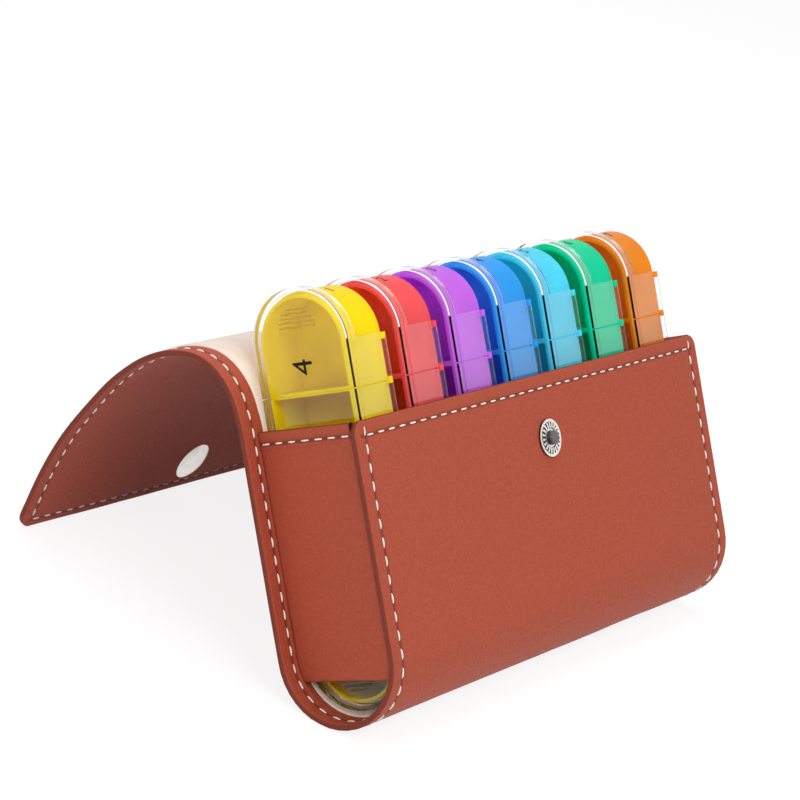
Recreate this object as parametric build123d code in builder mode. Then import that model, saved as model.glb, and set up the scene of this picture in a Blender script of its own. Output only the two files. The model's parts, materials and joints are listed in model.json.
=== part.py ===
from build123d import *
import os
from math import asin, atan2, cos, degrees, hypot, radians, sin, tan

# Weekly pill box: seven day boxes in a leather case that stands on its folded flap.
# Lengths are millimetres and angles are degrees.
# The pieces are modelled in the case's upright frame: X runs along the row of day boxes, Y from the
# front panel to the back panel and Z up the case, with the day boxes' front at y = 0 and the
# outside of the rounded bottom at z = 0. The last step leans each piece back into the standing pose.

# Day box: a slim upright stadium, open on its -X side, where four clear lids close it
days = ["sun", "mon", "tue", "wed", "thu", "fri", "sat"]
doses = ["morn", "noon", "eve", "bed"]
box_height = 118.0
box_depth = 32.0
box_thickness = 17.5

# Lid: a face plate, a rim round its edge and a full-depth skirt on the front, on the hinge side
lid_plate = 1.2
rim_wall = 1.1
rim_depth = 3.6
lid_gap = 0.25
lid_split = 0.4
swing_room = 0.75
grip_radius = 6.2
grip_drop = 11.5
grip_height = 0.4
grip_rib = 0.6
grip_ribs = 5

# Hinge: pegs on the lid's barrel turn in bored lugs on the tray
barrel_radius = 0.95
barrel_proud = 0.8
lug_height = 1.8
lug_end_gap = 0.2
knuckle_gap = 0.15
peg_radius = 0.55
peg_length = 0.75
peg_clearance = 0.06

# Tray
tray_lip = 0.9
tray_floor = 1.3
divider = 1.4

# Case: a leather wrap with a suede lining and two side gussets
leather = 1.8
suede = 0.5
case_width = 191.0
row_margin = 9.95
front_room = 2.0
seat_gap = 0.35
box_rise = 38.0
corner_radius = 4.0
lining_margin = 9.0
lining_drop = 6.0
gusset_leather = 1.6
gusset_edge = 1.0
gusset_gap = 1.8
gusset_hem = 5.0
hem_proud = 0.5
foot_cut = 0.3

# Flap: a sheet that bends at eight lines, numbered from the back panel to the free end
flap_room = 1.2
root_drop = 22.0
root_strips = 2
front_slant = 12.0
flap_past_stud = 11.0
flap_taper = 18.0
flap_corner = 6.0
fold_reach = 1.15
suede_reach = 1.2
rest_turns = [-21.0, -27.0, -30.0, -16.0, -13.0, -7.0, -6.0, -14.0]

# Snap fastener
stud_drop = 19.0
stud_radius = 5.6
stud_flange = 0.7
stud_rib_height = 0.3
stud_ribs = 20
stud_rib_width = 0.7
post_radius = 2.1
post_neck = 1.7
post_height = 2.6
post_shares = {"neck": 0.25, "head": 0.45, "crown": 0.8, "tip": 0.6}
shank_radius = 1.2
shank_clearance = 0.05
rivet_radius = 4.8
rivet_head = 0.6
snap_gap = 0.2
socket_radius = 5.0
socket_clearance = 0.25
cap_radius = 6.8
cap_rise = 1.8

# Places that follow from the sizes of the day box
box_radius = box_depth / 2
box_centre = (box_depth / 2, box_height / 2)
lip_start = lid_plate + lid_gap
rim_end = rim_depth + lid_gap
band_inset = rim_wall + lid_gap
lip_inset = band_inset + swing_room
cavity_inset = lip_inset + tray_lip
dose_height = box_height / len(doses)
hinge_x = box_thickness - barrel_radius
hinge_y = barrel_radius - barrel_proud
lug_levels = (
    [box_radius + lug_end_gap]
    + [row * dose_height - lug_height / 2 for row in range(1, len(doses))]
    + [box_height - box_radius - lug_end_gap - lug_height]
)

# Places in the case's frame
row_half = case_width / 2 - row_margin
day_pitch = (2 * row_half - box_thickness) / (len(days) - 1)
wall = leather + suede
front_y = -front_room - wall
back_y = box_depth + seat_gap + wall
case_depth = back_y - front_y
case_mid_y = (front_y + back_y) / 2
bottom_radius = case_depth / 2
box_seat = bottom_radius - box_radius
case_height = box_seat + box_height - box_rise
stud_z = case_height - stud_drop
lining_half = case_width / 2 - lining_margin

# The closed flap runs up the back, goes round the day boxes' tops on a polygon about a circle and slants
# out to the front
folds = len(rest_turns)
arc_folds = folds - root_strips - 1
arc_turn = (180 - front_slant) / arc_folds
flap_radius = box_radius + flap_room + suede + leather / 2
flap_mid_y = back_y - leather / 2 - flap_radius
flap_mid_z = box_seat + box_height - box_radius
half_side = flap_radius * tan(radians(arc_turn / 2))
snap_stack = post_height + snap_gap
closed_y = front_y - snap_stack - leather / 2
tangent_y = flap_mid_y - flap_radius * cos(radians(front_slant))
tangent_z = flap_mid_z + flap_radius * sin(radians(front_slant))
slant_length = (tangent_y - closed_y) / sin(radians(front_slant))
last_fold_z = tangent_z - slant_length * cos(radians(front_slant))
slant_side = half_side + slant_length
tail = last_fold_z - stud_z + flap_past_stud
root_lengths = [root_drop / root_strips] * root_strips
arc_lengths = [2 * half_side] * (arc_folds - 1)
strip_lengths = root_lengths + arc_lengths + [slant_side, tail]
first_fold = (back_y - leather / 2, flap_mid_z + half_side - root_drop)
flap_length = sum(strip_lengths)

# The fold lines at rest, each as (y, z), and the direction of each strip beyond its fold
fold_points = [first_fold]
directions = []
heading = 90.0
for turn, length in zip(rest_turns, strip_lengths):
    heading += turn
    directions.append(heading)
    y, z = fold_points[-1]
    fold_points.append((y + length * cos(radians(heading)), z + length * sin(radians(heading))))

# The case leans back until its bottom and the rounded end of the flap both touch the floor
end_y = fold_points[-1][0] - leather / 2 * cos(radians(directions[-1]))
end_z = fold_points[-1][1] - leather / 2 * sin(radians(directions[-1]))
reach_y = end_y - case_mid_y
reach_z = end_z - bottom_radius
foot_radius = bottom_radius - foot_cut
lean = degrees(atan2(reach_z, reach_y) + asin((foot_radius - leather / 2) / hypot(reach_y, reach_z)))
up = Vector(0, -sin(radians(lean)), cos(radians(lean)))
foot = Vector(0, case_mid_y, bottom_radius) - up * foot_radius
floor_plane = Plane(origin=foot, x_dir=(1, 0, 0), z_dir=up)


def leaned(y, z):
    """The y and z that a place in the case's frame has once the case leans on the floor."""
    turned_y = y * cos(radians(lean)) + z * sin(radians(lean))
    turned_z = z * cos(radians(lean)) - y * sin(radians(lean))
    return turned_y, turned_z


mid_y, mid_z = leaned(case_mid_y, bottom_radius)
far_y, far_z = leaned(end_y, end_z)
shift_y = -(mid_y - bottom_radius + far_y + leather / 2) / 2
shift_z = foot_radius - mid_z
standing = Location((0, shift_y, shift_z)) * Location((0, 0, 0), (-lean, 0, 0))


def write_piece(piece, name, place=Location()):
    """Lean a finished piece back with the case and write it as one node."""
    piece.part.label = name
    export_step(piece.part.moved(standing * place), f"parts/{name}.step")


def strip_plane(number):
    """The plane of one strip of the flap: X across it, Y towards its free end, Z out of the suede side."""
    y, z = fold_points[number]
    angle = radians(directions[number])
    return Plane(origin=(0, y, z), x_dir=(1, 0, 0), z_dir=(0, -sin(angle), cos(angle)))


def strip_side_plane(number):
    """The plane across the same strip: X towards its free end, Y out of the suede side."""
    y, z = fold_points[number]
    angle = radians(directions[number])
    return Plane(origin=(0, y, z), x_dir=(0, cos(angle), sin(angle)), z_dir=(1, 0, 0))


def flap_half(number):
    """Half the flap's width at a fold line, narrower towards the free end."""
    return case_width / 2 - flap_taper * sum(strip_lengths[:number]) / flap_length


def build_tray():
    """The coloured tray: a walled stadium with three dividers and five bored hinge lugs."""
    with BuildPart() as tray:
        with BuildSketch(Plane.YZ.offset(rim_end)):
            with Locations(box_centre):
                SlotOverall(box_height - 2 * band_inset, box_depth - 2 * band_inset, rotation=90)
        extrude(amount=box_thickness - rim_end)
        with BuildSketch(Plane.YZ.offset(lip_start)):
            with Locations(box_centre):
                SlotOverall(box_height - 2 * lip_inset, box_depth - 2 * lip_inset, rotation=90)
        extrude(amount=box_thickness - lip_start)
        with BuildSketch(Plane.YZ.offset(lip_start)):
            with Locations(box_centre):
                SlotOverall(box_height - 2 * cavity_inset, box_depth - 2 * cavity_inset, rotation=90)
        extrude(amount=box_thickness - lip_start - tray_floor, mode=Mode.SUBTRACT)
        with BuildSketch(Plane.YZ.offset(lip_start)):
            with Locations(box_centre), GridLocations(box_depth, dose_height, 1, len(doses) - 1):
                Rectangle(box_depth - 2 * lip_inset, divider)
        extrude(amount=box_thickness - lip_start)
        for level in lug_levels:
            with BuildSketch(Plane.XY.offset(level)):
                with Locations((hinge_x, hinge_y)):
                    Circle(barrel_radius)
                    Rectangle(2 * barrel_radius, lip_inset - hinge_y, align=(Align.CENTER, Align.MIN))
            extrude(amount=lug_height)
        with BuildSketch(Plane.XY):
            with Locations((hinge_x, hinge_y)):
                Circle(peg_radius + peg_clearance)
        extrude(amount=box_height, mode=Mode.SUBTRACT)
    return tray


def build_lid(row):
    """The clear lid of one compartment, counted from the bottom, with its barrel and two pegs."""
    last = len(doses) - 1
    low = row * dose_height + (lid_split / 2 if row > 0 else 0)
    high = (row + 1) * dose_height - (lid_split / 2 if row < last else 0)
    skirt_low = max(low, box_radius)
    skirt_high = min(high, box_height - box_radius)
    skirt_end = hinge_x - barrel_radius - lid_gap
    rim_length = box_height - 2 * rim_wall
    rim_width = box_depth - 2 * rim_wall
    barrel_low = lug_levels[row] + lug_height + knuckle_gap
    barrel_high = lug_levels[row + 1] - knuckle_gap
    with BuildPart() as lid:
        with BuildSketch(Plane.YZ):
            with Locations(box_centre):
                SlotOverall(box_height, box_depth, rotation=90)
            with Locations((box_depth / 2, (low + high) / 2)):
                Rectangle(box_depth, high - low, mode=Mode.INTERSECT)
        extrude(amount=lid_plate)
        with BuildSketch(Plane.YZ):
            with Locations(box_centre):
                SlotOverall(box_height, box_depth, rotation=90)
                SlotOverall(rim_length, rim_width, rotation=90, mode=Mode.SUBTRACT)
            with Locations((box_depth / 2, (low + high) / 2)):
                Rectangle(box_depth, high - low, mode=Mode.INTERSECT)
        extrude(amount=rim_depth)
        with BuildSketch(Plane.XY.offset(skirt_low)):
            Rectangle(skirt_end, rim_wall, align=(Align.MIN, Align.MIN))
        extrude(amount=skirt_high - skirt_low)
        with BuildSketch(Plane.XY.offset(barrel_low)):
            Rectangle(hinge_x, rim_wall, align=(Align.MIN, Align.MIN))
            with Locations((hinge_x, hinge_y)):
                Circle(barrel_radius)
        extrude(amount=barrel_high - barrel_low)
        with BuildSketch(Plane.XY.offset(barrel_low - peg_length)):
            with Locations((hinge_x, hinge_y)):
                Circle(peg_radius)
        extrude(amount=barrel_high - barrel_low + 2 * peg_length)
        if row in (0, last):
            side = 1 if row == last else -1
            flat = box_height / 2 + side * (box_height / 2 - grip_drop)
            rib_pitch = grip_radius / grip_ribs
            with BuildSketch(Plane.YZ):
                with Locations((box_depth / 2, flat)):
                    Circle(grip_radius)
                bars = [(box_depth / 2, flat + side * (rib + 0.5) * rib_pitch) for rib in range(grip_ribs)]
                with Locations(*bars):
                    ribs = Rectangle(2 * grip_radius, grip_rib, mode=Mode.PRIVATE)
                add(ribs, mode=Mode.INTERSECT)
            extrude(amount=-grip_height)
    return lid


def build_wrap():
    """The leather wrap: front panel, round bottom and a back panel that runs up to the first fold."""
    root_y, root_z = first_fold
    with BuildPart() as wrap:
        with BuildSketch(Plane.YZ.offset(-case_width / 2)):
            with Locations((case_mid_y, bottom_radius)):
                Circle(bottom_radius)
                Rectangle(case_depth, case_height - bottom_radius, align=(Align.CENTER, Align.MIN))
            with Locations((root_y, bottom_radius)):
                Rectangle(leather, root_z - fold_reach - bottom_radius, align=(Align.CENTER, Align.MIN))
            with Locations((root_y, root_z - fold_reach)):
                Circle(leather / 2)
            with Locations((case_mid_y, bottom_radius)):
                Circle(bottom_radius - leather, mode=Mode.SUBTRACT)
                Rectangle(
                    case_depth - 2 * leather,
                    case_height - bottom_radius,
                    align=(Align.CENTER, Align.MIN),
                    mode=Mode.SUBTRACT,
                )
        extrude(amount=case_width)
        front_corners = wrap.edges().filter_by(Axis.Y).group_by(Axis.Y)[0].group_by(Axis.Z)[-1]
        fillet(front_corners, corner_radius)
        split(bisect_by=floor_plane, keep=Keep.TOP)
        with BuildSketch(Plane.XZ.offset(-front_y)):
            with Locations((0, stud_z)):
                Circle(shank_radius + shank_clearance)
        extrude(amount=-leather, mode=Mode.SUBTRACT)
    return wrap


def build_lining():
    """The suede inside the wrap, from the front panel's hem round the bottom and up to the first fold."""
    radius = bottom_radius - leather
    root_z = first_fold[1] - suede_reach
    with BuildPart() as lining:
        with BuildSketch(Plane.YZ.offset(-lining_half)):
            with Locations((case_mid_y, bottom_radius)):
                Circle(radius)
                Rectangle(2 * radius, root_z - bottom_radius, align=(Align.CENTER, Align.MIN))
                Circle(radius - suede, mode=Mode.SUBTRACT)
                Rectangle(
                    2 * (radius - suede),
                    root_z - bottom_radius,
                    align=(Align.CENTER, Align.MIN),
                    mode=Mode.SUBTRACT,
                )
            hem_z = case_height - lining_drop
            with Locations((case_mid_y - radius, hem_z)):
                Rectangle(radius, root_z - hem_z, align=(Align.MIN, Align.MIN), mode=Mode.SUBTRACT)
        extrude(amount=2 * lining_half)
        with BuildSketch(Plane.XZ.offset(-front_y)):
            with Locations((0, stud_z)):
                Circle(shank_radius + shank_clearance)
        extrude(amount=-wall, mode=Mode.SUBTRACT)
    return lining


def build_gusset(side):
    """A side panel between the front and back panels, set in further at the back, with a hemmed top."""
    radius = bottom_radius - leather
    front_x = case_width / 2 - gusset_edge
    back_x = row_half + gusset_gap + gusset_leather
    with BuildPart() as gusset:
        with BuildSketch(Plane.XY.offset(bottom_radius)):
            with BuildLine():
                Polyline(
                    (side * front_x, case_mid_y - radius),
                    (side * back_x, case_mid_y + radius),
                    (side * (back_x - gusset_leather), case_mid_y + radius),
                    (side * (front_x - gusset_leather), case_mid_y - radius),
                    close=True,
                )
            make_face()
        extrude(amount=case_height - bottom_radius)
        with BuildSketch(Plane.XY.offset(case_height - gusset_hem)):
            with BuildLine():
                Polyline(
                    (side * (front_x + hem_proud), case_mid_y - radius),
                    (side * (back_x + hem_proud), case_mid_y + radius),
                    (side * back_x, case_mid_y + radius),
                    (side * front_x, case_mid_y - radius),
                    close=True,
                )
            make_face()
        extrude(amount=gusset_hem)
    return gusset


def build_strip(number):
    """One strip of the flap's leather, with rounded ends that leave the folds free to bend."""
    length = strip_lengths[number]
    near = flap_half(number)
    far = flap_half(number + 1)
    last = number == folds - 1
    with BuildPart() as strip:
        with BuildSketch(strip_plane(number)) as outline:
            with BuildLine():
                Polyline((-near, 0), (near, 0), (far, length), (-far, length), close=True)
            make_face()
            if last:
                fillet(outline.vertices().group_by(Axis.Y)[-1], flap_corner)
        extrude(amount=leather / 2, both=True)
        reach_end = length if last else length - fold_reach + leather / 2
        reach_start = fold_reach - leather / 2
        with BuildSketch(strip_side_plane(number)):
            with Locations(((reach_start + reach_end) / 2, 0)):
                SlotOverall(reach_end - reach_start, leather)
        extrude(amount=case_width, both=True, mode=Mode.INTERSECT)
        if last:
            with BuildSketch(strip_plane(number)):
                with Locations((0, tail - flap_past_stud)):
                    Circle(shank_radius + shank_clearance)
            extrude(amount=leather, both=True, mode=Mode.SUBTRACT)
    return strip


def build_suede(number):
    """The suede patch on one strip, inside the leather's margin, with room for the socket on the last."""
    length = strip_lengths[number]
    near = flap_half(number) - lining_margin
    far = flap_half(number + 1) - lining_margin
    last = number == folds - 1
    end = length - lining_margin if last else length - suede_reach
    with BuildPart() as patch:
        with BuildSketch(strip_plane(number).offset(leather / 2)):
            with BuildLine():
                Polyline((-near, suede_reach), (near, suede_reach), (far, end), (-far, end), close=True)
            make_face()
            if last:
                with Locations((0, tail - flap_past_stud)):
                    Circle(socket_radius + socket_clearance, mode=Mode.SUBTRACT)
        extrude(amount=suede)
    return patch


def revolve_plane(origin, outward):
    """The plane of a round piece's half section: X from its axis outwards, Y along the axis, outward."""
    return Plane(origin=origin, x_dir=(1, 0, 0), z_dir=Vector(1, 0, 0).cross(outward))


def build_stud():
    """The snap's stud: a ribbed flange on the front panel, a necked post and a shank through the wall."""
    outward = Vector(0, -1, 0)
    centre = Vector(0, front_y, stud_z)
    shank_end = -wall - rivet_head
    post = post_height - stud_flange
    with BuildPart() as stud:
        with BuildSketch(revolve_plane(centre, outward)):
            with BuildLine():
                Polyline(
                    (0, shank_end),
                    (shank_radius, shank_end),
                    (shank_radius, 0),
                    (stud_radius, 0),
                    (stud_radius, stud_flange),
                    (post_neck, stud_flange),
                    (post_neck, stud_flange + post_shares["neck"] * post),
                    (post_radius, stud_flange + post_shares["head"] * post),
                    (post_radius, stud_flange + post_shares["crown"] * post),
                    (post_shares["tip"] * post_radius, post_height),
                    (0, post_height),
                    close=True,
                )
            make_face()
        revolve(axis=Axis(centre, outward))
        rib_length = (stud_radius - post_radius) / 2
        with BuildSketch(Plane(origin=centre + outward * stud_flange, x_dir=(1, 0, 0), z_dir=outward)):
            with PolarLocations(stud_radius - rib_length, stud_ribs):
                Rectangle(rib_length, stud_rib_width)
        extrude(amount=stud_rib_height)
    return stud


def build_rivet():
    """The ring that holds the stud's shank against the lining."""
    with BuildPart() as rivet:
        with BuildSketch(Plane.XZ.offset(-front_y - wall)):
            with Locations((0, stud_z)):
                Circle(rivet_radius)
                Circle(shank_radius + shank_clearance, mode=Mode.SUBTRACT)
        extrude(amount=-rivet_head)
    return rivet


def build_socket():
    """The snap's socket, on the suede side of the flap's end, where it drops over the stud's post."""
    height = snap_stack - stud_flange - stud_rib_height - snap_gap
    with BuildPart() as socket:
        with BuildSketch(strip_plane(folds - 1).offset(leather / 2)):
            with Locations((0, tail - flap_past_stud)):
                Circle(socket_radius)
                Circle(post_radius + socket_clearance, mode=Mode.SUBTRACT)
        extrude(amount=height)
        chamfer(socket.edges().filter_by(GeomType.CIRCLE).group_by(SortBy.RADIUS)[-1], height / 4)
    return socket


def build_cap():
    """The domed cap on the outer side of the flap's end, with its shank through the leather."""
    sheet = strip_plane(folds - 1)
    centre = sheet.from_local_coords(Vector(0, tail - flap_past_stud, -leather / 2))
    outward = -sheet.z_dir
    with BuildPart() as cap:
        with BuildSketch(revolve_plane(centre, outward)):
            with BuildLine():
                Polyline(
                    (0, cap_rise),
                    (0, -leather),
                    (shank_radius, -leather),
                    (shank_radius, 0),
                    (cap_radius, 0),
                )
                bulge = (cap_radius**2 + cap_rise**2) / (2 * cap_rise)
                RadiusArc((cap_radius, 0), (0, cap_rise), -bulge)
            make_face()
        revolve(axis=Axis(centre, outward))
    return cap


os.makedirs("parts", exist_ok=True)

write_piece(build_wrap(), "case_wrap")
write_piece(build_lining(), "case_lining")
write_piece(build_gusset(-1), "gusset_left")
write_piece(build_gusset(1), "gusset_right")
write_piece(build_stud(), "snap_stud")
write_piece(build_rivet(), "stud_rivet")
for number in range(folds):
    write_piece(build_strip(number), f"flap_strip_{number + 1}")
    write_piece(build_suede(number), f"flap_lining_{number + 1}")
write_piece(build_socket(), "snap_socket")
write_piece(build_cap(), "snap_cap")

tray = build_tray()
lids = {dose: build_lid(row) for row, dose in enumerate(doses)}
for column, day in enumerate(days):
    place = Location((column * day_pitch - row_half, 0, box_seat))
    write_piece(tray, f"{day}_tray", place)
    for dose, lid in lids.items():
        write_piece(lid, f"{day}_lid_{dose}", place)
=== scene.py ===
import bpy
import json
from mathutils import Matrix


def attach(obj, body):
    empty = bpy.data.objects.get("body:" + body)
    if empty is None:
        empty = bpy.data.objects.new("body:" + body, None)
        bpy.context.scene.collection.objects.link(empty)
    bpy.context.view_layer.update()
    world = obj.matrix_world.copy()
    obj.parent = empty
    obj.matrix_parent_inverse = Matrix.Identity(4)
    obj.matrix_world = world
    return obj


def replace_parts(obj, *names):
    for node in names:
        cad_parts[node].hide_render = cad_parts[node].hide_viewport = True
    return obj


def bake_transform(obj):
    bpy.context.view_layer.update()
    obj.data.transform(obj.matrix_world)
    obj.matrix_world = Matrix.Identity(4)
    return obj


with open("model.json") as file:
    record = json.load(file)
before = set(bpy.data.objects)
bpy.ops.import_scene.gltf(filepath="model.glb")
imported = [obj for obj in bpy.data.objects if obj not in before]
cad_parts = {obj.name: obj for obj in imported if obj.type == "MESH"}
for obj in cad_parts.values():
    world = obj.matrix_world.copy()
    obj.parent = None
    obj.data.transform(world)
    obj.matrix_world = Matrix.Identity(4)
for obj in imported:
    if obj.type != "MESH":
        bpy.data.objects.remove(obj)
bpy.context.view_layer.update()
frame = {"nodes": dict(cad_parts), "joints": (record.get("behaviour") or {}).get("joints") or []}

import json
import math

import bpy
import numpy as np
from mathutils import Matrix, Vector, noise

# Sizes are in millimetres, as the CAD has them in the case's upright frame: x along the row of
# boxes, y from the front panel to the back panel, and z up from the rounded bottom.
MM = 0.001

# Day boxes, with their doses from the bottom up
DAYS = ["sun", "mon", "tue", "wed", "thu", "fri", "sat"]
DOSES = ["morn", "noon", "eve", "bed"]
BOX_H, BOX_D, BOX_T, PITCH = 118.0, 32.0, 17.5, 25.6
BOX_SHOWS = 38.0  # how far a box stands out of the case
ROW_HALF = ((len(DAYS) - 1) * PITCH + BOX_T) / 2
GRIP_HEIGHT = 0.4  # of the ribs on a lid's plate
SHARP_ANGLE = math.radians(32)  # edges of the CAD nodes that are sharper stay crisp

# Case and flap
LEATHER, SUEDE, CASE_W = 1.8, 0.5, 191.0
FRONT_Y, BACK_Y = -4.3, 34.65
MID_Y = (FRONT_Y + BACK_Y) / 2
RADIUS = (BACK_Y - FRONT_Y) / 2
SEAT = RADIUS - BOX_D / 2
TOP = SEAT + BOX_H - BOX_SHOWS
FOLD_1 = (33.75, TOP + 5.6157)
BEFORE_FOLD = 5.5  # the still part of the back panel ends so far below the first fold
TAIL, TAIL_DIRECTION = 32.55, math.radians(-44.0)  # from the last fold to the flap's end
TAPER = 18.0  # the flap's end is so much narrower on each side
HEM_CORNER, END_CORNER = 4.0, 6.0  # radii of the front panel's and the flap's corners
MARGIN = 9.0  # leather beside the suede
SUEDE_START = 6.0  # from the front hem

# Seams: their distance from the edges, the groove that they draw, which stops short of the edge it
# runs to, and their stitches
SIDE_STITCH, HEM_STITCH, END_STITCH = 4.7, 4.2, 3.0
GROOVE_DEPTH, GROOVE_WIDTH, GROOVE_STOP = 0.24, 0.6, 3.0
STITCH_PITCH = 5.1
STITCH_LENGTH, STITCH_WIDTH, STITCH_HEIGHT = 0.66 * STITCH_PITCH, 0.52, 0.34

# Snap fastener: its distance from the front hem and from the flap's end, the radius of the hole for
# it in the suede, and the band inside that radius whose points are drawn out to the hole's rim
SNAP_FROM_HEM, SNAP_FROM_END = 19.0, 11.0
STUD_Z = TOP - SNAP_FROM_HEM
SNAP_HOLE, HOLE_BAND = 5.25, 0.75

# Gussets: their leather, the outer face's x at the front and at the back panel, their foot, and the
# turned-over hem at their top with its seam
GUSSET_LEATHER, GUSSET_CLEAR = 1.6, 1.8
GUSSET_FRONT, GUSSET_BACK = CASE_W / 2 - 1.0, ROW_HALF + GUSSET_CLEAR + GUSSET_LEATHER
GUSSET_LOW, GUSSET_HEM, GUSSET_HEM_STEP, GUSSET_SEAM = 13.0, 5.0, 0.5, 3.5

# Millimetres in a unit of the UVs, and where the leather's outer face and the gussets lie in them
UV_UNIT, UV_OUTER, UV_GUSSET = 100, 3, 6

joints = {j["name"]: j for j in frame["joints"]}
lift = Vector(joints["sun_lift"]["axis"])
LEAN = math.atan2(lift.y, lift.z)
COS, SIN = math.cos(LEAN), math.sin(LEAN)
ORIGIN = Vector(joints["flap_fold"]["pos_m"])


def place(x, y, z):
    """A place of the case's upright frame, in millimetres, put into the shared frame, in metres."""
    dy, dz = y - FOLD_1[0], z - FOLD_1[1]
    return Vector((
        x * MM, ORIGIN.y + (dy * COS + dz * SIN) * MM, ORIGIN.z + (dz * COS - dy * SIN) * MM))


def upright(p):
    """The y and z, in the case's upright frame, of a point of the shared frame."""
    dy, dz = (p[1] - ORIGIN.y) / MM, (p[2] - ORIGIN.z) / MM
    return dy * COS - dz * SIN + FOLD_1[0], dy * SIN + dz * COS + FOLD_1[1]


UP = (place(0, 0, 1) - place(0, 0, 0)).normalized()
BACK = (place(0, 1, 0) - place(0, 0, 0)).normalized()


def linear(rgb):
    """A colour written as sRGB from 0 to 255, as the linear RGBA that the nodes take."""
    shares = [c / 255 for c in rgb]
    return tuple(
        c / 12.92 if c <= 0.04045 else ((c + 0.055) / 1.055) ** 2.4 for c in shares) + (1.0,)


def scaled(colour, factor):
    return tuple(c * factor for c in colour[:3]) + (1.0,)


def grey(value):
    return (value, value, value, 1.0)


BLACK, WHITE = grey(0.0), grey(1.0)


class Nodes:
    """A short way to write the node tree of a material or the world."""

    def __init__(self, owner, shader="Principled BSDF", output="Material Output"):
        owner.use_nodes = True
        self.owner = owner
        self.tree = owner.node_tree
        self.shader = self.tree.nodes[shader]
        self.output = self.tree.nodes[output]

    def link(self, a, b):
        self.tree.links.new(a, b)

    def feed(self, socket, value):
        """Link another node's output to a socket, or give it a constant."""
        if isinstance(value, bpy.types.NodeSocket):
            self.link(value, socket)
        else:
            socket.default_value = value

    def add(self, kind, **values):
        """A new node, with constants or links for its inputs and values for its properties."""
        node = self.tree.nodes.new(kind)
        for key, value in values.items():
            if key in node.inputs:
                self.feed(node.inputs[key], value)
            else:
                setattr(node, key, value)
        return node

    def set(self, **values):
        """Constants or links for the inputs of the tree's main shader."""
        for key, value in values.items():
            self.feed(self.shader.inputs[key.replace("_", " ")], value)

    def show(self, shader):
        """Let the output show this shader in place of the main one."""
        self.link(shader, self.output.inputs["Surface"])

    def ramp(self, source, stops):
        node = self.add("ShaderNodeValToRGB", Fac=source)
        while len(node.color_ramp.elements) < len(stops):
            node.color_ramp.elements.new(0.5)
        for element, (position, colour) in zip(node.color_ramp.elements, stops):
            element.position = position
            element.color = colour
        return node.outputs["Color"]

    def math(self, operation, a, b):
        node = self.add("ShaderNodeMath", operation=operation)
        self.feed(node.inputs[0], a)
        self.feed(node.inputs[1], b)
        return node.outputs[0]

    def mix(self, factor, a, b):
        node = self.add("ShaderNodeMix", data_type="RGBA")
        for index, value in ((0, factor), (6, a), (7, b)):
            self.feed(node.inputs[index], value)
        return node.outputs[2]

    def mix_shaders(self, factor, a, b):
        node = self.add("ShaderNodeMixShader")
        for index, value in enumerate((factor, a, b)):
            self.feed(node.inputs[index], value)
        return node.outputs[0]

    def coordinates(self, kind):
        return self.add("ShaderNodeTexCoord").outputs[kind]

    def attribute(self, name):
        return self.add("ShaderNodeAttribute", attribute_name=name).outputs["Fac"]

    def noise(self, where, scale, detail=2.0, roughness=0.5):
        node = self.add(
            "ShaderNodeTexNoise", Vector=where, Scale=scale, Detail=detail, Roughness=roughness)
        return node.outputs["Fac"]

    def bump(self, height, strength, distance, **before):
        """The normal that a height gives; Normal= names the one that it lies on."""
        return self.add(
            "ShaderNodeBump", Height=height, Strength=strength, Distance=distance,
            **before).outputs["Normal"]

    def rays(self, *kinds):
        """1 for a ray of any of these kinds of Light Path and 0 for the others."""
        path = self.add("ShaderNodeLightPath")
        result = path.outputs[f"Is {kinds[0]} Ray"]
        for kind in kinds[1:]:
            result = self.math("MAXIMUM", result, path.outputs[f"Is {kind} Ray"])
        return result


def new_material(name):
    return Nodes(bpy.data.materials.new(name))


def leather_material(colour, edge):
    """Fine-grained PU leather: pebbles, an almost even colour, edge paint, and painted shade in its
    creases, seam grooves and joints.
    """
    n = new_material("leather")
    uv = n.coordinates("UV")
    warp = n.add("ShaderNodeTexNoise", Vector=uv, Scale=60.0, Detail=2.0)
    moved = n.add("ShaderNodeVectorMath", operation="MULTIPLY_ADD")
    for socket, value in zip(moved.inputs, (warp.outputs["Color"], (0.012,) * 3, uv)):
        n.feed(socket, value)
    cells = n.add("ShaderNodeTexVoronoi", feature="DISTANCE_TO_EDGE", Scale=110.0)
    n.link(moved.outputs[0], cells.inputs["Vector"])
    grain = n.ramp(cells.outputs["Distance"], [(0.0, BLACK), (0.25, WHITE)])
    mottle = n.noise(uv, scale=70.0, detail=3.0, roughness=0.6)
    fine = n.noise(uv, scale=420.0, roughness=0.6)

    duller, brighter, shade = (scaled(colour, k) for k in (0.92, 1.05, 0.3))
    body = n.mix(n.ramp(mottle, [(0.35, BLACK), (0.65, WHITE)]), duller, brighter)
    # Painted shade: the hollows between the pebbles are darkened towards the shade colour
    crease_shade = n.math("MULTIPLY", n.math("SUBTRACT", 1.0, grain), 0.12)
    # Painted shade in the seam grooves and along the gussets' joints, as strong as the seam
    # attribute
    groove_shade = n.math("MULTIPLY", n.attribute("seam"), 0.85)
    body = n.mix(n.math("MAXIMUM", crease_shade, groove_shade), body, shade)
    wear = n.math("MULTIPLY", n.noise(uv, scale=60.0, detail=3.0, roughness=0.7), 0.25)
    painted = n.math("LESS_THAN", n.attribute("rim"), n.math("ADD", wear, 0.1))
    body = n.mix(n.math("MULTIPLY", painted, 0.9), body, edge)

    polish = n.math("ADD", n.math("MULTIPLY", grain, 0.5), n.math("MULTIPLY", mottle, 0.5))
    pebbles = n.bump(grain, strength=0.4, distance=0.0001)
    n.set(Base_Color=body,
          Roughness=n.ramp(polish, [(0.2, grey(0.64)), (0.9, grey(0.5))]),
          Normal=n.bump(fine, strength=0.3, distance=0.00006, Normal=pebbles),
          Specular_IOR_Level=0.16)
    return n.owner


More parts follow.
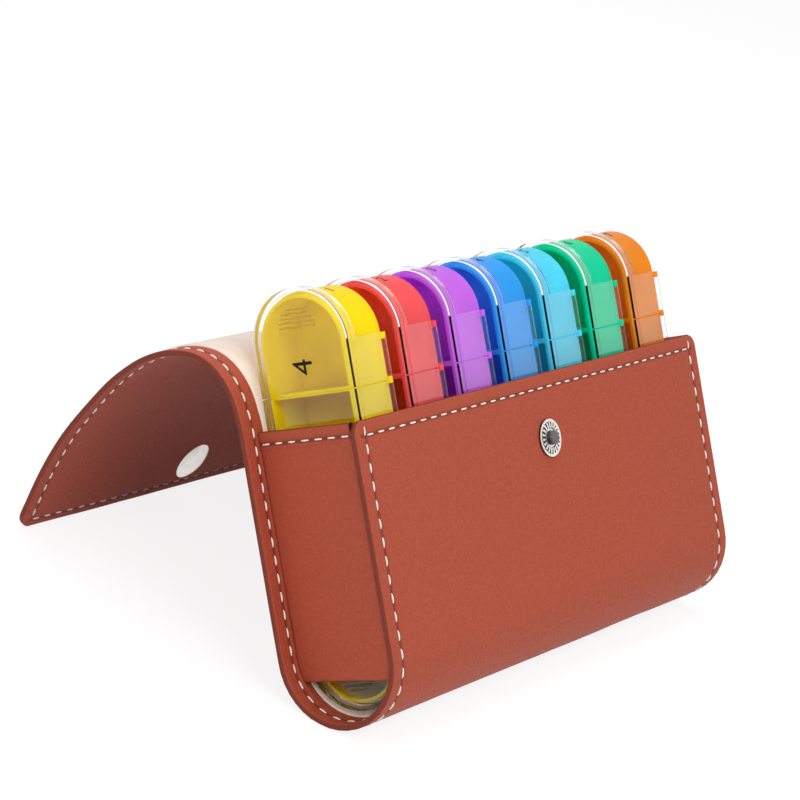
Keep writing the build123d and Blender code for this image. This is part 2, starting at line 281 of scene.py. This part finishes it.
def suede_material():
    """Brushed suede: a short nap with lighter and darker strokes."""
    n = new_material("suede")
    stretched = n.add(
        "ShaderNodeMapping", Vector=n.coordinates("UV"), Scale=(1.0, 0.35, 1.0)).outputs[0]
    nap = n.noise(stretched, scale=700.0, detail=3.0, roughness=0.7)
    strokes = n.noise(stretched, scale=14.0, detail=4.0, roughness=0.65)
    body = n.ramp(strokes, [(0.3, linear((226, 207, 195))), (0.7, linear((244, 229, 219)))])
    n.set(Base_Color=n.mix(n.math("MULTIPLY", nap, 0.3), body, linear((200, 180, 167))),
          Normal=n.bump(nap, strength=0.6, distance=0.00015),
          Roughness=0.92, Specular_IOR_Level=0.15, Sheen_Weight=0.35, Sheen_Roughness=0.4)
    return n.owner


def thread_material():
    """Off-white twisted thread."""
    n = new_material("thread")
    twist = n.add("ShaderNodeTexWave", Vector=n.coordinates("Object"), Scale=900.0,
                  Distortion=1.0, bands_direction="DIAGONAL").outputs["Fac"]
    body = n.ramp(twist, [(0.0, linear((206, 198, 190))), (0.6, linear((250, 247, 242)))])
    n.set(Base_Color=body,
          Normal=n.bump(twist, strength=0.5, distance=0.00008),
          Roughness=0.6, Sheen_Weight=0.2)
    return n.owner


def tray_material(name, colour):
    """Coloured plastic with a faint moulding flow; it lets some of the light through."""
    n = new_material(name)
    where = n.coordinates("Object")
    flow = n.noise(where, scale=60.0, detail=3.0, roughness=0.6)
    specks = n.noise(where, scale=900.0)
    body = n.mix(n.ramp(flow, [(0.35, BLACK), (0.7, WHITE)]), scaled(colour, 0.88), colour)
    n.set(Base_Color=body,
          Roughness=n.ramp(flow, [(0.3, grey(0.2)), (0.8, grey(0.3))]),
          Normal=n.bump(specks, strength=0.08, distance=0.00005),
          IOR=1.49, Specular_IOR_Level=0.1)
    through = n.add("ShaderNodeBsdfTranslucent", Color=body)
    n.show(n.mix_shaders(0.42, n.shader.outputs[0], through.outputs[0]))
    return n.owner


def lid_material(name, grip):
    """Clear plastic, faintly scratched and with a frosted grip, whose shadow lets light through."""
    n = new_material(name)
    clear = (0.985, 0.99, 0.995, 1)
    stretched = n.add("ShaderNodeMapping", Vector=n.coordinates("Object"),
                      Scale=(1.0, 8.0, 1.0), Rotation=(0.3, 0.2, 0.5)).outputs[0]
    scratches = n.noise(stretched, scale=350.0, detail=4.0, roughness=0.7)
    rough = n.ramp(scratches, [(0.45, grey(0.02)), (0.75, grey(0.10))])
    n.set(Base_Color=clear, IOR=1.36, Transmission_Weight=1.0, Specular_IOR_Level=0.12,
          Normal=n.bump(scratches, strength=0.04, distance=0.00004))
    if grip:
        # Generated x runs over the ribs first and then over the lid's own depth
        depth = n.add("ShaderNodeSeparateXYZ", Vector=n.coordinates("Generated")).outputs[0]
        ribs = n.math("LESS_THAN", depth, GRIP_HEIGHT / (BOX_T + GRIP_HEIGHT) * 0.9)
        rough = n.math("MAXIMUM", rough, n.math("MULTIPLY", ribs, 0.45))
        n.set(Base_Color=n.mix(ribs, clear, (0.86, 0.84, 0.8, 1)))
    n.set(Roughness=rough)
    unseen = n.add("ShaderNodeBsdfTransparent", Color=(0.98, 0.985, 0.99, 1))
    n.show(n.mix_shaders(n.rays("Shadow", "Diffuse"), n.shader.outputs[0], unseen.outputs[0]))
    return n.owner


def stud_tarnish(n, where):
    """How much painted shade and dark reflection the stud gets, from 0 to 1: between its ribs,
    round its rim and on its post.
    """
    facing = LEAN - math.pi / 2
    centre = frame["nodes"]["snap_stud"].matrix_world.inverted() @ place(0, FRONT_Y, STUD_Z)
    shift = Matrix.Rotation(facing, 3, "X") @ centre / -MM
    in_stud = n.add("ShaderNodeMapping", Vector=where, Scale=(1 / MM,) * 3,
                    Rotation=(facing, 0.0, 0.0), Location=tuple(shift)).outputs[0]
    x, y, height = n.add("ShaderNodeSeparateXYZ", Vector=in_stud).outputs
    square = n.math("ADD", n.math("MULTIPLY", x, x), n.math("MULTIPLY", y, y))
    past_post, in_ring = n.math("GREATER_THAN", square, 7.5), n.math("LESS_THAN", square, 23.0)
    below_ribs = n.math("LESS_THAN", height, 0.85)
    groove_shade = n.math("MULTIPLY", n.math("MULTIPLY", past_post, in_ring), below_ribs)
    post = n.math("MULTIPLY", n.math("LESS_THAN", square, 5.0), 0.88)
    rim = n.math("LESS_THAN", height, 0.5)
    return n.math("MAXIMUM", n.math("MAXIMUM", groove_shade, post), rim)


def nickel_material(name, ribbed):
    """Nickel plate, lightly brushed and, on the ribbed stud, painted shade and dark reflections
    between its ribs, round its rim and on its post.
    """
    n = new_material(name)
    where = n.coordinates("Object")
    cloud = n.noise(where, scale=250.0, detail=3.0, roughness=0.6)
    brushed = n.noise(where, scale=2500.0)
    body = n.ramp(cloud, [(0.3, linear((228, 223, 218))), (0.75, linear((243, 240, 236)))])
    if ribbed:
        # Painted shade between the ribs and round the rim, and a painted dark reflection on the
        # post
        dark = n.math("MULTIPLY", stud_tarnish(n, where), 0.94)
        body = n.mix(dark, body, linear((18, 16, 16)))
    n.set(Base_Color=body,
          Roughness=n.ramp(cloud, [(0.3, grey(0.36)), (0.8, grey(0.28))]),
          Normal=n.bump(brushed, strength=0.12, distance=0.00003),
          Metallic=1.0)
    return n.owner


def ink_material():
    """Black ink, a little worn."""
    n = new_material("ink")
    worn = n.noise(n.coordinates("Object"), scale=1500.0, detail=3.0, roughness=0.6)
    body = n.ramp(worn, [(0.3, (0.006, 0.006, 0.007, 1)), (0.8, (0.016, 0.016, 0.018, 1))])
    n.set(Base_Color=body, Roughness=0.7, Specular_IOR_Level=0.1)
    return n.owner


LEATHER_OUT = leather_material(linear((169, 76, 53)), linear((112, 50, 38)))
SUEDE_IN, THREAD, INK = suede_material(), thread_material(), ink_material()
NICKEL, STUD = nickel_material("nickel", False), nickel_material("ribbed_nickel", True)
LID, GRIP_LID = lid_material("clear_lid", False), lid_material("grip_lid", True)
TRAY_COLOURS = {
    "sun": (255, 236, 8), "mon": (255, 104, 108), "tue": (226, 126, 250), "wed": (60, 188, 255),
    "thu": (98, 236, 255), "fri": (0, 238, 186), "sat": (255, 166, 30),
}


def mesh_object(name, vertices, faces, material, attributes=None, uv=None):
    """A mesh of the shared frame, with whatever would dip below the floor pressed flat on it."""
    data = bpy.data.meshes.new(name)
    data.from_pydata([(v[0], v[1], max(v[2], 0.0)) for v in vertices], [], faces)
    data.validate()
    data.shade_smooth()
    for key, values in (attributes or {}).items():
        layer = data.attributes.new(key, "FLOAT", "POINT")
        layer.data.foreach_set("value", np.array(values, np.float32))
    if uv is not None:
        layer = data.uv_layers.new(name="UVMap")
        loops = np.zeros(len(data.loops), np.int32)
        data.loops.foreach_get("vertex_index", loops)
        layer.data.foreach_set("uv", np.array(uv, np.float32)[loops].ravel())
    data.materials.append(material)
    result = bpy.data.objects.new(name, data)
    bpy.context.scene.collection.objects.link(result)
    return result


def line(a, b, count):
    """Points on a straight from a to b, with both."""
    return [tuple(a[i] + (b[i] - a[i]) * k / count for i in (0, 1)) for k in range(count + 1)]


def bezier(a, b, c, count):
    """Points on the bend from a to c whose corner is b, with both."""
    points = []
    for k in range(count + 1):
        t = k / count
        of_a, of_b, of_c = (1 - t) ** 2, 2 * t * (1 - t), t * t
        points.append(tuple(of_a * a[i] + of_b * b[i] + of_c * c[i] for i in (0, 1)))
    return points


# The sheet's middle line in the upright frame, in sections: the case and the flap's end, which each
# ride on one body, and between them a bend at each fold, which stays where it lies
FOLDS = [upright(joints[name]["pos_m"])
         for name in ["flap_fold"] + [f"flap_bend_{k}" for k in range(2, 9)]]
FLAP_END = (FOLDS[-1][0] + TAIL * math.cos(TAIL_DIRECTION),
            FOLDS[-1][1] + TAIL * math.sin(TAIL_DIRECTION))
MIDS = [(FOLDS[0][0], FOLDS[0][1] - BEFORE_FOLD)]
MIDS += [((a[0] + b[0]) / 2, (a[1] + b[1]) / 2) for a, b in zip(FOLDS, FOLDS[1:] + [FLAP_END])]

front_middle, back_middle = FRONT_Y + LEATHER / 2, BACK_Y - LEATHER / 2
case_path = line((front_middle, TOP), (front_middle, RADIUS), 90)
for k in range(1, 61):
    turned, reach = math.pi * k / 60, RADIUS - LEATHER / 2
    case_path.append((MID_Y - reach * math.cos(turned), RADIUS - reach * math.sin(turned)))
case_path += line((back_middle, RADIUS), MIDS[0], 90)[1:]

SECTIONS = [("case", "case", None, case_path)]
for k, fold in enumerate(FOLDS, 1):
    before = "case" if k == 1 else f"flap_{k - 1}"
    bend = bezier(MIDS[k - 1], fold, MIDS[k], 14)
    SECTIONS.append((f"flap_bend_{k}", before, f"flap_{k}", bend))
SECTIONS.append(("flap_end", "flap_8", None, line(MIDS[-1], FLAP_END, 28)))


class Sheet:
    """The whole sheet's middle line, sampled finely: a place on it is a distance s along it."""

    def __init__(self, paths):
        points, starts = [], []
        for path in paths:
            starts.append(max(0, len(points) - 1))
            points += path[1:] if points else path
        self.p = np.array(points)
        self.s = np.concatenate([[0], np.cumsum(np.hypot(*np.diff(self.p, axis=0).T))])
        tangent = np.gradient(self.p, self.s, axis=0)
        self.t = tangent / np.hypot(*tangent.T)[:, None]
        self.length = float(self.s[-1])
        self.bounds = [float(self.s[i]) for i in starts] + [self.length]
        self.fold_s = self.bounds[1] + BEFORE_FOLD

    def at(self, s):
        """The middle line's y and z at s, and its direction."""
        y, z, ty, tz = (float(np.interp(s, self.s, values[:, i]))
                        for values in (self.p, self.t) for i in (0, 1))
        size = math.hypot(ty, tz)
        return y, z, ty / size, tz / size

    def straight(self, s):
        """Half the sheet's width, even on the case and narrower along the flap."""
        along_flap = max(0.0, s - self.fold_s) / (self.length - self.fold_s)
        return CASE_W / 2 - TAPER * along_flap

    def half(self, s):
        """The same with the rounded corners cut off."""
        half = self.straight(s)
        for distance, radius in ((s, HEM_CORNER), (self.length - s, END_CORNER)):
            if distance < radius:
                half -= radius - math.sqrt(max(0.0, radius**2 - (radius - distance) ** 2))
        return half

    def point(self, s, x, height):
        """A point of the shared frame: s along the sheet, x across it, height towards the suede."""
        y, z, ty, tz = self.at(s)
        return place(x, y - tz * height, z + ty * height)


sheet = Sheet([path for *_, path in SECTIONS])
SUEDE_END = sheet.length - MARGIN
SOCKET_S = sheet.length - SNAP_FROM_END


def swell(s, x):
    """Soft waves of the leather, in two sizes, less at its edges and none at the snap."""
    value = 0.22 * noise.noise(Vector((x / 34, s / 30, 3.1)))
    value += 0.08 * noise.noise(Vector((x / 11, s / 11, 9.7)))
    for snap in (SNAP_FROM_HEM, SOCKET_S):
        value *= min(1.0, max(0.0, (math.hypot(x, s - snap) - 8) / 10))
    return value * min(1.0, abs(sheet.half(s) - abs(x)) / 8 + 0.25)


def rounded(distance):
    """Half the leather's thickness beside its rounded edge."""
    return LEATHER / 2 * float(np.interp(distance, (0.0, 0.12, 0.4, 0.9), (0.5, 0.78, 0.95, 1.0)))


def channel(distance, where):
    """The depth, from 0 to 1, of the groove that a seam draws into the leather."""
    return math.exp(-(((distance - where) / GROOVE_WIDTH) ** 2))


# Distances from the edges that get a line of the mesh: rounding, seam and the leather beyond
SIDE_LINES = [0.0, 0.12, 0.4, 0.9, 2.0, 3.3, 3.9, 4.3, 4.7, 5.1, 5.5, 6.4, 9.0, 12.0]
HEM_LINES = [0.0, 0.12, 0.4, 0.9, 1.5, 2.2, 2.6, 3.0, 3.4, 3.8, 4.2, 4.6, 5.0, 5.5, 6.0]
SUEDE_LINES = [0.0, 0.2, 0.7, 2.0]


def columns(half, lines, middle, fine=()):
    """Places across the sheet, close together at its edges and, where asked, at its middle."""
    outer = [-half + d for d in lines]
    if len(fine):
        inner = list(np.linspace(outer[-1], fine[0], middle // 2))[1:-1]
        inner += list(fine) + [-v for v in reversed(inner)]
    else:
        inner = list(np.linspace(outer[-1], -outer[-1], middle + 2))[1:-1]
    return outer + [float(v) for v in inner] + [-v for v in reversed(outer)]


def stations(low, high, coarse):
    """Places along the sheet between two distances, close together at its hem and its end."""
    marks = [low, high] + list(np.arange(low, high, coarse))
    marks += HEM_LINES + [sheet.length - d for d in HEM_LINES]
    marks = sorted(set(round(m, 4) for m in marks if low - 1e-6 <= m <= high + 1e-6))
    kept = [marks[0]]
    for m in marks[1:]:
        if m - kept[-1] > 0.1 or m == marks[-1]:
            kept.append(m)
    return kept


def both_faces(rows, count):
    """Quads of a strip whose rows each hold count points of its one face and then of its other."""
    faces = []
    for a in range(0, (rows - 1) * 2 * count, 2 * count):
        b = a + 2 * count
        for j in range(count - 1):
            faces.append((a + j, a + j + 1, b + j + 1, b + j))
            faces.append((a + count + j + 1, a + count + j, b + count + j, b + count + j + 1))
    return faces


def sheet_piece(name, low, high, coarse):
    """A stretch of the leather, both faces and rounded edges, closed at the sheet's own ends."""
    vertices, rim, seam, uv = [], [], [], []
    rows = stations(low, high, coarse)
    for s in rows:
        half = sheet.half(s)
        end = min(s, sheet.length - s)
        xs = columns(half, SIDE_LINES, 18)
        for side in (1, -1):
            for x in xs:
                edge = half - abs(x)
                sides = channel(edge, SIDE_STITCH) if end > GROOVE_STOP else 0
                ends = 0
                if edge > GROOVE_STOP:
                    ends = max(channel(s, HEM_STITCH), channel(sheet.length - s, END_STITCH))
                # seam is the groove's depth; the leather material also paints shade into the groove
                # by it
                seam.append(max(sides, ends))
                thick = min(rounded(edge), rounded(end)) - GROOVE_DEPTH * seam[-1]
                vertices.append(sheet.point(s, x, side * thick + swell(s, x)))
                rim.append(min(edge, end))
                uv.append((x / UV_UNIT + (UV_OUTER if side < 0 else 0), s / UV_UNIT))
    count = len(xs)
    faces = both_faces(len(rows), count)
    last = (len(rows) - 1) * 2 * count
    for a in range(0, last, 2 * count):
        b = a + 2 * count
        faces.append((a, b, b + count, a + count))
        faces.append((a + 2 * count - 1, b + 2 * count - 1, b + count - 1, a + count - 1))
    for j in range(count - 1):
        if low == 0:
            faces.append((j + 1, j, count + j, count + j + 1))
        if high == sheet.length:
            faces.append((last + count + j + 1, last + count + j, last + j, last + j + 1))
    return mesh_object(name, vertices, faces, LEATHER_OUT, {"rim": rim, "seam": seam}, uv)


def suede_piece(name, low, high, coarse):
    """The suede on the leather, inside its margin, with a round hole for the snap's socket."""
    low, high = max(low, SUEDE_START), min(high, SUEDE_END)
    # A finer grid round the snap makes its hole round
    fine = list(np.arange(-7.0, 7.1, 0.5)) if low < SOCKET_S < high else []
    rows = [s for s in stations(low, high, coarse) if not fine or abs(s - SOCKET_S) > 7.2]
    vertices, uv, faces, reach = [], [], [], []
    for s in sorted(rows + [SOCKET_S + d for d in fine]):
        half = sheet.straight(s) - MARGIN
        xs = columns(half, SUEDE_LINES, 20, fine)
        ends = min(s - SUEDE_START, SUEDE_END - s)
        for x in xs:
            edge = min(half - abs(x), ends)
            lift = SUEDE * (0.0 if edge < 0.05 else 0.75 if edge < 0.4 else 1.0)
            nap = 0.05 * noise.noise(Vector((x / 5, s / 5, 1.3))) * (edge > 0.5)
            reach.append(math.hypot(x, s - SOCKET_S))
            on_rim = SNAP_HOLE - HOLE_BAND < reach[-1] < SNAP_HOLE
            wide = SNAP_HOLE / reach[-1] if on_rim else 1.0
            at, across = SOCKET_S + (s - SOCKET_S) * wide, x * wide
            height = LEATHER / 2 - 0.06 + lift + nap + swell(s, x)
            vertices.append(sheet.point(at, across, height))
            uv.append((across / UV_UNIT, at / UV_UNIT))
    count = len(xs)
    for a in range(0, len(vertices) - count, count):
        b = a + count
        faces += [(a + j, a + j + 1, b + j + 1, b + j) for j in range(count - 1)]
    faces = [f for f in faces if min(reach[i] for i in f) >= SNAP_HOLE - HOLE_BAND]
    used = sorted({i for f in faces for i in f})
    new = {i: k for k, i in enumerate(used)}
    faces = [tuple(new[i] for i in f) for f in faces]
    return mesh_object(
        name, [vertices[i] for i in used], faces, SUEDE_IN, None, [uv[i] for i in used])


def dash(centre, along, normal):
    """One stitch: a short plump thread whose ends dive into the leather."""
    rings, sides, dive = 7, 6, 0.352
    across = along.cross(normal).normalized()
    vertices, faces = [], []
    for i in range(rings):
        t = i / (rings - 1) * 2 - 1
        fat = math.sqrt(max(0.0, 1 - t * t * 0.86))
        for j in range(sides):
            turn = 2 * math.pi * j / sides
            out = math.sin(turn) * STITCH_HEIGHT * fat - dive * t**4
            aside = math.cos(turn) * STITCH_WIDTH / 2 * fat
            offset = along * (t * STITCH_LENGTH / 2) + across * aside + normal * out
            vertices.append(centre + offset * MM)
    for i in range(rings - 1):
        for j in range(sides):
            a, b = i * sides + j, i * sides + (j + 1) % sides
            faces.append((a, b, b + sides, a + sides))
    faces.append(tuple(reversed(range(sides))))
    faces.append(tuple((rings - 1) * sides + j for j in range(sides)))
    return vertices, faces


def stitches(name, places):
    """An object of stitches, each given by centre, direction along the seam and outward normal."""
    vertices, faces = [], []
    for spot in places:
        v, f = dash(*spot)
        faces += [tuple(i + len(vertices) for i in face) for face in f]
        vertices += v
    return mesh_object(name, vertices, faces, THREAD)


def seam_x(s, sign):
    """Where the side seam lies across the sheet."""
    return math.copysign(sheet.straight(s) - SIDE_STITCH, sign)


def stitch_spot(s, x, down_side, side):
    """A stitch's s, centre, direction and normal; it lies down the side or across the sheet."""
    height = side * (LEATHER / 2 - 0.16)
    base = sheet.point(s, x, height)
    normal = (sheet.point(s, x, height + side) - base).normalized()
    step = Vector((1, 0, 0))
    if down_side:
        on = min(s + 0.5, sheet.length)
        step = sheet.point(on, seam_x(on, x), height) - base
    along = (step - normal * step.dot(normal)).normalized()
    return s, sheet.point(s, x, height + swell(s, x)), along, normal


def seam_spots():
    """Every stitch of the sheet, on both faces, down its sides and across its hem and its end."""
    spots = []
    first, last = HEM_STITCH - STITCH_PITCH / 2 + 1.2, sheet.length - END_STITCH + 1.5
    for side in (1, -1):
        for s in (float(v) for v in np.arange(first, last, STITCH_PITCH)):
            spots += [stitch_spot(s, seam_x(s, sign), True, side) for sign in (1, -1)]
        for s in (HEM_STITCH, sheet.length - END_STITCH):
            reach = sheet.straight(s) - SIDE_STITCH - STITCH_PITCH / 2
            count = int(2 * reach / STITCH_PITCH)
            for k in range(count + 1):
                spots.append(stitch_spot(s, -reach + 2 * reach * k / count, False, side))
    return spots


seams = seam_spots()
for index, (tag, first, second, _) in enumerate(SECTIONS):
    low, high = sheet.bounds[index], sheet.bounds[index + 1]
    coarse = (high - low) / 12 if second else 3.0
    inside = [spot[1:] for spot in seams
              if low <= spot[0] and (spot[0] < high or tag == "flap_end")]
    pieces = [
        sheet_piece(f"{tag}_leather", low, high, coarse),
        suede_piece(f"{tag}_suede", low, high, coarse),
        stitches(f"{tag}_stitches", inside),
    ]
    for piece, slot in zip(pieces, ("leather", "suede", "suede")):
        if second is None:
            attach(piece, first)
        else:
            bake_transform(piece)
    if tag == "case":
        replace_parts(pieces[0], "case_wrap")
        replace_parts(pieces[1], "case_lining")
    elif second:
        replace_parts(pieces[0], f"flap_strip_{index}")
        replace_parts(pieces[1], f"flap_lining_{index}")


def gusset(name, side):
    """The side panel with its hemmed top and its row of stitches."""
    inner = RADIUS - LEATHER
    zs = [GUSSET_LOW, GUSSET_LOW + 0.4, GUSSET_LOW + 1]
    zs += list(np.linspace(GUSSET_LOW + 3, TOP - 6.5, 26))
    zs += [TOP - d for d in (5.2, 5.0, 4.8, 4.2, 3.8, 3.5, 3.2, 2.8, 1.5, 0.5, 0.15, 0.0)]
    us = [0.0] + list(np.linspace(0.03, 0.97, 17)) + [1.0]
    vertices, rim, seam, uv = [], [], [], []
    for z in zs:
        reach = inner if z > RADIUS else math.sqrt(max(0.0, inner**2 - (RADIUS - z) ** 2))
        edge = min(TOP - z, z - GUSSET_LOW)
        groove = channel(TOP - z, GUSSET_SEAM)
        hem = GUSSET_HEM_STEP / (1 + math.exp(-(z - (TOP - GUSSET_HEM)) * 6))
        for outer in (1, 0):
            for u in us:
                y = MID_Y - reach + 2 * reach * u
                share = (y - (MID_Y - inner)) / (2 * inner)
                x = GUSSET_FRONT + (GUSSET_BACK - GUSSET_FRONT) * share
                bow = 0.45 * math.sin(math.pi * share) * math.sin(math.pi * min(1, (TOP - z) / 70))
                wave = 0.15 * noise.noise(Vector((z / 14, y / 14, side * 5.0)))
                x += hem + wave - bow if outer else 0.1 * wave - GUSSET_LEATHER
                x -= GROOVE_DEPTH * groove * outer
                if edge < 0.4:
                    x += (GUSSET_LEATHER / 2 - edge) * (-0.5 if outer else 0.5)
                vertices.append(place(side * x, y, z))
                # seam is the groove's depth, and 0.9 along the front and back edges, where the
                # leather paints a line of shade at the joints
                seam.append(max(groove, 0.9 * (u in (0.0, 1.0))))
                rim.append(edge)
                uv.append((y / UV_UNIT + UV_GUSSET, z / UV_UNIT))
    count = len(us)
    faces = both_faces(len(zs), count)
    for a in (0, (len(zs) - 1) * 2 * count):
        faces += [(a + j, a + j + 1, a + count + j + 1, a + count + j) for j in range(count - 1)]
    panel = mesh_object(name, vertices, faces, LEATHER_OUT, {"rim": rim, "seam": seam}, uv)

    front = place(side * GUSSET_FRONT, MID_Y - inner, TOP)
    along = (place(side * GUSSET_BACK, MID_Y + inner, TOP) - front).normalized()
    out = along.cross(UP).normalized() * side
    spots = []
    for share in (0.07 + 0.86 * k / 6 for k in range(7)):
        x = GUSSET_FRONT + (GUSSET_BACK - GUSSET_FRONT) * share + 0.3
        y = MID_Y - inner + 2 * inner * share
        spots.append((place(side * x, y, TOP - GUSSET_SEAM), along, out))
    row = stitches(f"{name}_stitches", spots)
    for piece in (panel, row):
        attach(piece, "case")
    return panel


for name, side in (("gusset_left", -1), ("gusset_right", 1)):
    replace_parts(gusset(f"{name}_panel", side), name)


def dress(node, material):
    """Give a CAD node its material; its round faces shade smooth and its flats keep crisp edges."""
    data = frame["nodes"][node].data
    data.materials.clear()
    data.materials.append(material)
    data.shade_smooth()
    data.set_sharp_from_angle(angle=SHARP_ANGLE)


for day in DAYS:
    dress(f"{day}_tray", tray_material(f"tray_{day}", linear(TRAY_COLOURS[day])))
    for dose in DOSES:
        dress(f"{day}_lid_{dose}", GRIP_LID if dose in ("morn", "bed") else LID)
for node in ("snap_stud", "stud_rivet", "snap_socket", "snap_cap"):
    dress(node, STUD if node == "snap_stud" else NICKEL)


INK_HALF, INK_LIFT = 0.015, 0.02  # half a number's thickness, and its middle's height on the face


def printed(name, number, size, centre, right, upward, body):
    """A printed number: a film of ink that lies on a face."""
    curve = bpy.data.curves.new(name, "FONT")
    curve.body, curve.size = str(number), size * MM
    curve.align_x, curve.align_y = "CENTER", "CENTER"
    curve.extrude = INK_HALF * MM
    maker = bpy.data.objects.new(name + "_curve", curve)
    bpy.context.scene.collection.objects.link(maker)
    data = bpy.data.meshes.new_from_object(maker)
    bpy.data.objects.remove(maker)
    right, upward = right.normalized(), upward.normalized()
    out = right.cross(upward)
    turn = Matrix((right, upward, out)).transposed().to_4x4()
    data.transform(Matrix.Translation(centre + out * INK_LIFT * MM) @ turn)
    data.materials.clear()
    data.materials.append(INK)
    piece = bpy.data.objects.new(name, data)
    bpy.context.scene.collection.objects.link(piece)
    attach(piece, body)


# The numbers: each dose's on its lid, and each day's on the round top of its tray
DOSE_SIZE, DOSE_HEIGHTS = 9.5, (22.0, 44.25, 73.75, 96.0)
DAY_SIZE, DAY_ACROSS, DAY_TURN = 4.6, 10.4, math.radians(68)
DAY_RADIUS = BOX_D / 2 - 1.35
ALONG = Vector((1, 0, 0))
RISE = BACK * math.sin(DAY_TURN) + UP * math.cos(DAY_TURN)
for column, day in enumerate(DAYS, 1):
    x = (column - 1) * PITCH - ROW_HALF
    for row, (dose, height) in enumerate(zip(DOSES, DOSE_HEIGHTS), 1):
        centre = place(x, BOX_D / 2, SEAT + height)
        printed(f"{day}_{dose}_number", row, DOSE_SIZE, centre, UP, BACK, f"{day}_{dose}_lid")
    centre = place(x + DAY_ACROSS, BOX_D / 2 - DAY_RADIUS * math.cos(DAY_TURN),
                   SEAT + BOX_H - BOX_D / 2 + DAY_RADIUS * math.sin(DAY_TURN))
    printed(f"{day}_day_number", column, DAY_SIZE, centre, ALONG, RISE, f"{day}_box")

# Floor and world: white in view, in reflections and through clear plastic, a plain level as light
SEEN = ("Camera", "Transmission", "Glossy")
FLOOR_REACH, FLOOR_Z = 6.0, -0.0002
floor_mesh = bpy.data.meshes.new("floor")
corners = [(sx * FLOOR_REACH, sy * FLOOR_REACH, FLOOR_Z)
           for sx, sy in ((-1, -1), (1, -1), (1, 1), (-1, 1))]
floor_mesh.from_pydata(corners, [], [(0, 1, 2, 3)])
floor = bpy.data.objects.new("floor", floor_mesh)
scene = bpy.context.scene
scene.collection.objects.link(floor)
ground = new_material("floor")
ground.set(Base_Color=(0.93, 0.93, 0.935, 1), Roughness=0.9, Specular_IOR_Level=0.1)
shaded = ground.add("ShaderNodeBsdfDiffuse", Color=(0.2, 0.2, 0.201, 1))
glow = ground.add("ShaderNodeEmission", Strength=0.85)
total = ground.add("ShaderNodeAddShader")
ground.link(shaded.outputs[0], total.inputs[0])
ground.link(glow.outputs[0], total.inputs[1])
ground.show(ground.mix_shaders(ground.rays(*SEEN), ground.shader.outputs[0], total.outputs[0]))
floor_mesh.materials.append(ground.owner)

sky = Nodes(bpy.data.worlds.new("studio"), "Background", "World Output")
sky.set(Color=WHITE, Strength=0.46)
backdrop = sky.add("ShaderNodeBackground", Color=WHITE, Strength=1.0)
sky.show(sky.mix_shaders(sky.rays(*SEEN), sky.shader.outputs[0], backdrop.outputs[0]))
scene.world = sky.owner

# Lamps: name, place, width in metres and power in watts
LAMPS = (
    ("key", (-0.55, -0.75, 0.85), 0.6, 6.4),
    ("side", (-0.95, 0.10, 0.45), 0.5, 1.6),
    ("top", (0.15, 0.1, 1.1), 0.8, 5.2),
)
AIM = Vector((0, 0, 0.05))
for name, spot, width, power in LAMPS:
    lamp_data = bpy.data.lights.new(name, "AREA")
    lamp_data.shape, lamp_data.size, lamp_data.energy = "DISK", width, power
    lamp = bpy.data.objects.new(name, lamp_data)
    scene.collection.objects.link(lamp)
    lamp.location = spot
    lamp.rotation_euler = (AIM - Vector(spot)).to_track_quat("-Z", "Y").to_euler()

# Camera, as fitted to the photograph: focal length in pixels of an 800-pixel frame, its place, and
# where its right, down and ahead point
FOCAL, FRAME_PIXELS = 3000, 800
CAMERA_PLACE = Vector((-0.7429, -0.43191, 0.34955))
CAMERA_AXES = (
    (0.55642, -0.79695, 0.23509), (-0.14288, -0.37050, -0.91778), (0.81852, 0.47708, -0.32002))
camera_data = bpy.data.cameras.new("camera")
camera_data.sensor_width = 36.0
camera_data.lens = FOCAL / FRAME_PIXELS * camera_data.sensor_width
camera_data.clip_start, camera_data.clip_end = 0.05, 50
camera = bpy.data.objects.new("camera", camera_data)
scene.collection.objects.link(camera)
right, down, ahead = (Vector(v).normalized() for v in CAMERA_AXES)
turn = Matrix((right, -down, -ahead)).transposed().to_4x4()
camera.matrix_world = Matrix.Translation(CAMERA_PLACE) @ turn
scene.camera = camera
scene.view_settings.view_transform = "Standard"
